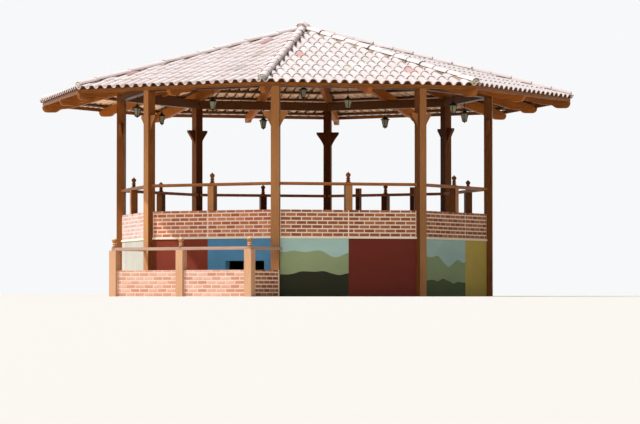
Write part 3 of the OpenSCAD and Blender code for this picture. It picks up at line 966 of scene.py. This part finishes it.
@dataclass
class RoofTiling:
    """Clay barrel tiles: channels laid hollow side up and covers over their joints, in lapped courses."""

    finishes: Finishes
    plan: Plan
    pitch: float = 0.2105
    gauge: float = 0.46
    length: float = 0.57
    thick: float = 0.010
    lift: float = 0.016
    first_lift: float = 0.006
    channel_base: float = 0.001
    cover_base: float = 0.013
    eave_inset: float = 0.006
    past_hip: float = 0.12
    shortest: float = 0.02
    twist: float = 0.008
    slide: float = 0.004
    stop_inset: float = 0.11
    stop_half: float = 0.078
    stop_rise: float = 0.062
    stop_foot: float = 0.012
    stop_wing: float = 0.105
    arc_steps: int = 7
    # The paler tones paint light on the front left slope and the hip caps.
    tones: tuple[str, ...] = ("#C4BBBB", "#C6BEBD", "#C1B6B5", "#C7C1C1", "#C1B8B6", "#C3BBB8")
    painted_light_tones: tuple[str, ...] = ("#D6CBCA", "#D8CECD", "#D2C5C3", "#D9D0CF", "#D3C7C5")
    # Painted bounce light on the channels' undersides, and painted shade in the covers' hollows and the eave
    # stops.
    channel_painted_bounce_light: str = "#FFE0C4"
    hollow: str = "#6E452E"
    cap_length: float = 0.50
    cap_gauge: float = 0.43
    cap_base: float = -0.031
    cap_lift: float = 0.014
    cap_inset: float = 0.05
    cap_last: float = 0.3
    cap_shortest: float = 0.03
    cap_twist: float = 0.035
    cap_slide: float = 0.009
    bed_lumps: int = 56
    bed_start: float = 0.25
    bed_step: float = 0.095
    bed_length: float = 0.096
    bed_outline: tuple[tuple[float, float], ...] = (
        (-0.094, -0.13), (-0.078, -0.036), (0.0, -0.012), (0.078, -0.036), (0.094, -0.13))
    # The bedding mortar is a browner tone that also paints the shade in the gaps beside the caps.
    bed_tones: tuple[str, ...] = ("#A18B79", "#AE9886", "#947E6C")
    plug_rings: tuple[tuple[float, float], ...] = (
        (-0.14, 0.066), (-0.05, 0.084), (-0.008, 0.080), (0.012, 0.058))
    plug_inset: float = 0.045
    plug_wide: float = 1.05
    plug_over: float = 0.66
    plug_below: float = 0.80
    plug_drop: float = 0.026
    plug_tone: str = "#BFB3A3"
    grey_plug_tone: str = "#A9A8A6"
    grey_plug_corner: int = 5
    peak_rings: tuple[tuple[float, float], ...] = (
        (0.19, -0.09), (0.17, -0.03), (0.13, 0.030), (0.080, 0.065), (0.03, 0.080))
    peak_turn: float = 247.5
    peak_tilt: float = 0.20
    peak_shift: float = 0.03
    slope_seed: int = 100
    hip_seed: int = 5
    peak_seed: int = 9

    def arc(self, half: float, rise: float) -> list[tuple[float, float]]:
        """Gives points across and up on half an oval, from its right foot to its left one."""
        turns = [math.pi * i / self.arc_steps for i in range(self.arc_steps + 1)]
        return [(half * math.cos(turn), rise * math.sin(turn)) for turn in turns]

    def tile(self, kit: MeshKit, place: Lay, shape: TileShape, ends: tuple[float, float],
             base: tuple[float, float], tone: str, under: str = "") -> None:
        """Adds one barrel tile.

        Args:
            kit: The mesh that it joins.
            place: Turns distance down the slope, along the side and off the bed into the shared frame.
            shape: Which kind of tile it is.
            ends: Where its upper and its lower end lie down the slope.
            base: How far its lowest part is off the bed, at those ends.
            tone: Its colour.
            under: The colour of its underside, or empty for the usual painted shade or painted bounce light.
        """
        points: list[Point] = []
        for down, width, off in zip(ends, shape.wide, base):
            for skin in (0.0, self.thick):
                for across, arch in self.arc(width / 2 - skin, shape.rise - skin):
                    height = arch if shape.cover else skin + (shape.rise - skin) - arch
                    points.append(place(down, across, off + height))
        steps = self.arc_steps
        row = steps + 1
        faces: list[Face] = []
        for i in range(steps):
            faces.append((i, i + 1, 2 * row + i + 1, 2 * row + i))
            faces.append((row + i + 1, row + i, 3 * row + i, 3 * row + i + 1))
            faces.append((i + 1, i, row + i, row + i + 1))
            faces.append((2 * row + i, 2 * row + i + 1, 3 * row + i + 1, 3 * row + i))
        faces.append((0, 2 * row, 3 * row, row))
        faces.append((steps, row + steps, 3 * row + steps, 2 * row + steps))
        if not shape.cover:
            faces = [face[::-1] for face in faces]
        # Painted shade under a cover, painted bounce light under a channel, unless another tone is given.
        kit.add(points, faces, tone, under or (self.hollow if shape.cover else self.channel_painted_bounce_light),
                range(1 if shape.cover else 0, 4 * steps, 4))

    def stop(self, kit: MeshKit, place: Lay, down: float) -> None:
        """Closes the hollow of an eave cover a little way in with mortar, as the bedding does.

        The mortar takes the dark hollow tone, painted shade.

        Args:
            kit: The mesh that it joins.
            place: Turns distance down the slope, along the side and off the bed into the shared frame.
            down: How far down the slope it stands.
        """
        arch = self.arc(self.stop_half, self.stop_rise)
        points = [place(down, across, self.stop_foot + high) for across, high in arch]
        points += [place(down, -self.stop_wing, 0.0), place(down, self.stop_wing, 0.0)]
        kit.add(points, [tuple(range(len(points)))], self.hollow)

    def shade(self, chance: random.Random, side: Side | None = None, course: int = 0, column: int = 0) -> str:
        """Picks a tile's tone. The sides that the photograph shows have their odd tiles in their places.

        Args:
            chance: The seeded source of variation.
            side: The side that the tile lies on, or None on a hip.
            course: Its course, counted up from the eave, or -1 for a channel.
            column: Its column, counted from the middle of the side.

        Returns:
            The sRGB hex code.
        """
        odd = ODD_TILES.get(side)
        if odd is None and side is not None and course >= 0 and chance.random() < 0.02:
            return chance.choice((PINK_CLAY, PINK_CLAY, SAND_CLAY))
        # Painted light: the front left slope and the hip caps take the paler tones, which lift the shade on
        # the tiles' sides.
        plain = self.painted_light_tones if side in (None, Side.FRONT_LEFT) else self.tones
        return (odd or {}).get((course, column), chance.choice(plain))

    def slope(self, side: Side, chance: random.Random) -> Object:
        """Tiles one side of the roof.

        Args:
            side: The side.
            chance: The seeded source of variation.

        Returns:
            The piece that stands for the CAD slope.
        """
        plan, kit = self.plan, MeshKit()
        cosine, sine = math.cos(plan.slope), math.sin(plan.slope)
        centre, middle, turned, slid = 0.0, 0.0, 0.0, 0.0

        def place(down: float, along: float, off: float) -> Point:
            """Puts a point of the tile in hand on the slope, with its own small twist."""
            shifted = along + slid + (down - middle) * turned
            return side.place(down * cosine + off * sine, centre + shifted,
                              plan.bed_peak - down * sine + off * cosine)

        for course in range(int(plan.eave / self.gauge) + 2):
            low = (plan.eave - self.eave_inset - course * self.gauge) / cosine
            top = max(low - self.length, self.shortest)
            if low < self.past_hip:
                continue
            reach = low * cosine * math.tan(HALF_SIDE) + self.past_hip
            count = int(reach / self.pitch) + 1
            middle = (top + low) / 2
            lift = self.lift if course else self.first_lift
            for column in range(-count, count + 1):
                for shape in (CHANNEL, COVER):
                    centre = (column + (0.5 if shape.cover else 0.0)) * self.pitch
                    if abs(centre) > reach:
                        continue
                    turned = chance.uniform(-self.twist, self.twist)
                    slid = chance.uniform(-self.slide, self.slide)
                    slip = chance.uniform(-0.012, 0.004) if course else chance.uniform(-0.006, 0.0)
                    under, base = "", self.cover_base
                    if not shape.cover:
                        # The lowest channels get painted shade underneath, save on the sides whose eaves show
                        # from inside.
                        under = "" if course or side in SEEN_FROM_INSIDE else self.hollow
                        base = self.channel_base
                    self.tile(kit, place, shape, (top, low + slip), (base, base + lift),
                              self.shade(chance, side, course if shape.cover else -1, column), under)
                    if shape.cover and not course:
                        self.stop(kit, place, low - self.stop_inset)
        edges = []
        for sign in (-1, 1):
            ray = Vector(side.place(math.cos(HALF_SIDE), sign * math.sin(HALF_SIDE), 0))
            edges.append(Vector((0, 0, 1)).cross(ray) * sign)
        return kit.piece(f"roof_tiles_{side.word}", self.finishes.get(ROOF_CLAY), "roof_tile", edges)

    def hip_caps(self) -> None:
        """Lays the rows of cap tiles over the hips on their mortar."""
        plan = self.plan
        fall = math.atan(plan.hip_fall)
        cosine, sine = math.cos(fall), math.sin(fall)
        chance = random.Random(self.hip_seed)
        caps, bed = MeshKit(), MeshKit()
        for corner in range(8):
            spin = Matrix.Rotation(math.radians(22.5 + 45 * corner), 3, "Z")
            yaw, slid, middle = 0.0, 0.0, 0.0

            def place(down: float, along: float, off: float) -> Point:
                """Puts a point of the piece in hand on this hip, with its own small twist."""
                across = along + slid + (down - middle) * yaw
                return tuple(spin @ Vector((down * cosine + off * sine, across,
                                            plan.tile_peak - down * sine + off * cosine)))

            low = plan.eave_ring / cosine - self.cap_inset
            while low > self.cap_last:
                top = max(low - self.cap_length, self.cap_shortest)
                middle = (top + low) / 2
                yaw = chance.uniform(-self.cap_twist, self.cap_twist)
                slid = chance.uniform(-self.cap_slide, self.cap_slide)
                base = self.cap_base + chance.uniform(-0.005, 0.005)
                self.tile(caps, place, HIP_CAP, (top, low), (base, base + self.cap_lift), self.shade(chance))
                low -= self.cap_gauge + chance.uniform(-0.012, 0.012)
            yaw, slid = 0.0, 0.0
            for number in range(self.bed_lumps):
                self.lump(bed, place, self.bed_start + number * self.bed_step, chance)
            tone = self.grey_plug_tone if corner == self.grey_plug_corner else self.plug_tone
            self.plug(bed, place, plan.eave_ring / cosine - self.plug_inset, tone, chance)
        piece = caps.piece("hip_caps", self.finishes.get(ROOF_CLAY), "roof_tile")
        bed.piece("hip_bedding", self.finishes.get(BEDDING), "roof_tile")
        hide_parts("hip_cap_tiles")

    def lump(self, kit: MeshKit, place: Lay, start: float, chance: random.Random) -> None:
        """Adds one rough stretch of the mortar that the hip caps lie on.

        Args:
            kit: The mesh that it joins.
            place: Turns distance down the hip, across it and off its crown into the shared frame.
            start: How far down the hip it starts.
            chance: The seeded source of variation.
        """
        points = []
        for end in (start, start + self.bed_length):
            for across, off in self.bed_outline:
                points.append(place(end, across + chance.uniform(-0.010, 0.010),
                                    off + chance.uniform(-0.008, 0.008)))
        count = len(self.bed_outline)
        faces: list[Face] = [(i, count + i, count + i + 1, i + 1) for i in range(count - 1)]
        faces += [tuple(range(count))[::-1], tuple(range(count, 2 * count))]
        kit.add(points, faces, chance.choice(self.bed_tones))

    def plug(self, kit: MeshKit, place: Lay, end: float, tone: str, chance: random.Random) -> None:
        """Stops the open end of a hip's lowest cap with a rough ball of mortar.

        Args:
            kit: The mesh that it joins.
            place: Turns distance down the hip, across it and off its crown into the shared frame.
            end: How far down the hip the cap ends.
            tone: The mortar's colour.
            chance: The seeded source of variation.
        """
        points = []
        count = 10
        for back, radius in self.plug_rings:
            for i in range(count):
                turn = 2 * math.pi * i / count
                size = radius * chance.uniform(0.92, 1.08)
                tall = self.plug_over if math.sin(turn) > 0 else self.plug_below
                points.append(place(end + back, size * self.plug_wide * math.cos(turn),
                                    -self.plug_drop + tall * size * math.sin(turn)))
        kit.add(points, ring_faces(len(self.plug_rings), count), tone)

    def apex(self) -> None:
        """Closes the top with a little mortar under one last cap tile that lies over the joint."""
        peak = self.plan.tile_peak
        kit = MeshKit()
        chance = random.Random(self.peak_seed)
        count = 24
        points = []
        for radius, height in self.peak_rings:
            for i in range(count):
                turn = 2 * math.pi * i / count
                wave = 1 + 0.05 * math.cos(8 * turn - math.pi) + chance.uniform(-0.02, 0.02)
                points.append((radius * wave * math.cos(turn), radius * wave * math.sin(turn), peak + height))
        kit.add(points, ring_faces(len(self.peak_rings), count), "#D2C4BE")
        spin = Matrix.Rotation(math.radians(self.peak_turn), 3, "Z")

        def place(down: float, along: float, off: float) -> Point:
            """Puts a point of the last cap on the joint."""
            return tuple(spin @ Vector((down, along - self.peak_shift, peak + off - self.peak_tilt * down)))

        self.tile(kit, place, LAST_CAP, (-0.16, 0.26), (0.018, 0.026), "#DDC9C4")
        fill = [place(down, across, high - 0.02) for down in (-0.15, 0.25)
                for across, high in self.arc(0.074, 0.102)]
        row = self.arc_steps + 1
        faces: list[Face] = [(i, i + 1, row + i + 1, row + i) for i in range(self.arc_steps)]
        faces += [tuple(range(row, 2 * row)), tuple(range(row))]
        kit.add(fill, faces, "#DCCBC3")
        piece = kit.piece("apex_mortar", self.finishes.get(ROOF_CLAY), "roof_tile")
        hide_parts("apex_cap")

    def build(self) -> None:
        """Tiles all the slopes, the hips and the apex."""
        for number, side in enumerate(Side):
            piece = self.slope(side, random.Random(self.slope_seed + number))
            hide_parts(f"roof_slope_{side.word}")
        self.hip_caps()
        self.apex()


@dataclass
class Lanterns:
    """Coach lanterns in blacked iron with milky glass."""

    finishes: Finishes
    nodes: dict[str, Object]

    def dress(self) -> None:
        """Gives the metal and the glass their finishes."""
        self.finishes.dress(self.nodes["lantern_frames"], BLACK_IRON)
        self.finishes.dress(self.nodes["lantern_panes"], MILK_GLASS)


@dataclass
class Studio:
    """A pale floor, soft light from the upper left and the photograph's camera.

    Turns, spreads and the sun's two angles are in degrees, and the rises of camera and fill in radians.
    """

    picture_width: int = 640
    focal_pixels: float = 2928.5
    sensor_mm: float = 36.0
    eye_turn: float = 14.4521
    eye_distance: float = 61.9114
    eye_height: float = 0.06
    look_turn: float = 14.7794
    look_rise: float = 0.0278
    sun_high: float = 55.0
    sun_swing: float = 9.0
    sun_strength: float = 4.05
    sun_spread: float = 1.5
    sun_tint: Point = (1.0, 0.975, 0.94)
    fill_near: float = 0.96
    fill_left: float = 0.28
    fill_rise: float = 0.7
    fill_strength: float = 0.66
    fill_spread: float = 45.0
    fill_tint: Point = (1.0, 0.985, 0.96)
    floor_half: float = 90.0
    floor_bounce: str = "#E0D1BC"
    floor_seen: str = "#C6C3BE"
    horizon: Colour = (0.14, 0.14, 0.14, 1)
    zenith: Colour = (0.56, 0.58, 0.62, 1)
    backdrop: Colour = (0.93, 0.94, 0.95, 1)

    def floor(self) -> None:
        """Lays the floor."""
        half = self.floor_half
        mesh = bpy.data.meshes.new("floor")
        mesh.from_pydata([(-half, -half, 0), (half, -half, 0), (half, half, 0), (-half, half, 0)], [],
                         [(0, 1, 2, 3)])
        material, tree, shader = new_material("floor_paper")
        paper = add_node(tree, "Mix", {0: seen_or_mirrored(tree), 6: linear(self.floor_bounce),
                                       7: linear(self.floor_seen)}, data_type="RGBA")
        feed(tree, shader, {"Base Color": paper.outputs[2], "Roughness": 0.9})
        mesh.materials.append(material)
        floor = bpy.data.objects.new("floor", mesh)
        bpy.context.scene.collection.objects.link(floor)

    def camera(self) -> None:
        """Sets the camera where the photograph was taken from."""
        turn, rise = math.radians(self.look_turn), self.look_rise
        forward = Vector((math.sin(turn) * math.cos(rise), math.cos(turn) * math.cos(rise), math.sin(rise)))
        data = bpy.data.cameras.new("photo_camera")
        data.sensor_width = self.sensor_mm
        data.lens = self.focal_pixels * self.sensor_mm / self.picture_width
        data.clip_end = 400.0
        camera = bpy.data.objects.new("photo_camera", data)
        stand = math.radians(self.eye_turn)
        camera.location = (-self.eye_distance * math.sin(stand), -self.eye_distance * math.cos(stand),
                           self.eye_height)
        camera.rotation_euler = forward.to_track_quat("-Z", "Y").to_euler()
        bpy.context.scene.collection.objects.link(camera)
        bpy.context.scene.camera = camera

    def light(self) -> None:
        """Adds a soft-edged sun from the upper left, a wide fill from the front, and the sky."""
        turn = math.radians(self.look_turn)
        left = Vector((-math.cos(turn), math.sin(turn), 0))
        near = Vector((-math.sin(turn), -math.cos(turn), 0))
        up = Vector((0, 0, 1))
        high, swing = math.radians(self.sun_high), math.radians(self.sun_swing)
        source = (left * math.cos(swing) + near * math.sin(swing)) * math.cos(high) + up * math.sin(high)
        self.sun("soft_sun", source, self.sun_strength, self.sun_spread, self.sun_tint)
        level = near * self.fill_near + left * self.fill_left
        front = level * math.cos(self.fill_rise) + up * math.sin(self.fill_rise)
        self.sun("front_fill", front, self.fill_strength, self.fill_spread, self.fill_tint)
        self.sky(left)

    def sky(self, left: Vector) -> None:
        """Adds a dome that is brighter overhead and to the left, and a plain pale backdrop.

        Args:
            left: Direction to the left of the picture.
        """
        world = bpy.data.worlds.new("studio_sky")
        bpy.context.scene.world = world
        world.use_nodes = True
        tree = world.node_tree
        ray = add_node(tree, "TexCoord").outputs["Generated"]
        rise = add_node(tree, "SeparateXYZ", {0: ray}).outputs["Z"]
        climb = add_node(tree, "MapRange", {"Value": rise, 1: 0.0, 2: 0.8}).outputs[0]
        dome = add_node(tree, "Mix", {0: climb, 6: self.horizon, 7: self.zenith}, data_type="RGBA").outputs[2]
        sunward = add_node(tree, "VectorMath", {0: ray, 1: left}, operation="DOT_PRODUCT").outputs["Value"]
        share = add_node(tree, "MapRange", {"Value": sunward, 1: -1.0, 2: 1.0, 3: 0.2, 4: 1.8}).outputs[0]
        dome = add_node(tree, "VectorMath", {0: dome, "Scale": share}, operation="SCALE").outputs[0]
        plain = add_node(tree, "Mix", {0: seen_or_mirrored(tree), 6: dome, 7: self.backdrop},
                         data_type="RGBA").outputs[2]
        feed(tree, tree.nodes["Background"], {"Color": plain, "Strength": 1.0})

    def sun(self, name: str, source: Vector, strength: float, spread: float, tint: Point) -> None:
        """Adds one far lamp.

        Args:
            name: The lamp's name.
            source: Direction towards it.
            strength: Its light in watts a square metre.
            spread: How wide it looks, in degrees.
            tint: Its linear colour.
        """
        data = bpy.data.lights.new(name, "SUN")
        data.energy = strength
        data.angle = math.radians(spread)
        data.color = tint
        lamp = bpy.data.objects.new(name, data)
        lamp.rotation_euler = source.to_track_quat("Z", "Y").to_euler()
        bpy.context.scene.collection.objects.link(lamp)

    def build(self) -> None:
        """Sets up the whole studio."""
        self.camera()
        self.floor()
        self.light()
        bpy.context.scene.view_settings.view_transform = "Standard"


def main() -> None:
    """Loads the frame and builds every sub-assembly in order."""
    logging.basicConfig(level=logging.INFO, format="%(name)s: %(message)s")
    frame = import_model()
    nodes = frame["nodes"]
    plan = Plan()
    finishes = Finishes()
    Studio().build()
    Plinth(finishes, nodes).dress()
    TimberFrame(finishes, nodes).dress()
    Lanterns(finishes, nodes).dress()
    Brickwork(finishes, nodes, plan).build()
    RoofTiling(finishes, plan).build()


if __name__ == "__main__":
    main()
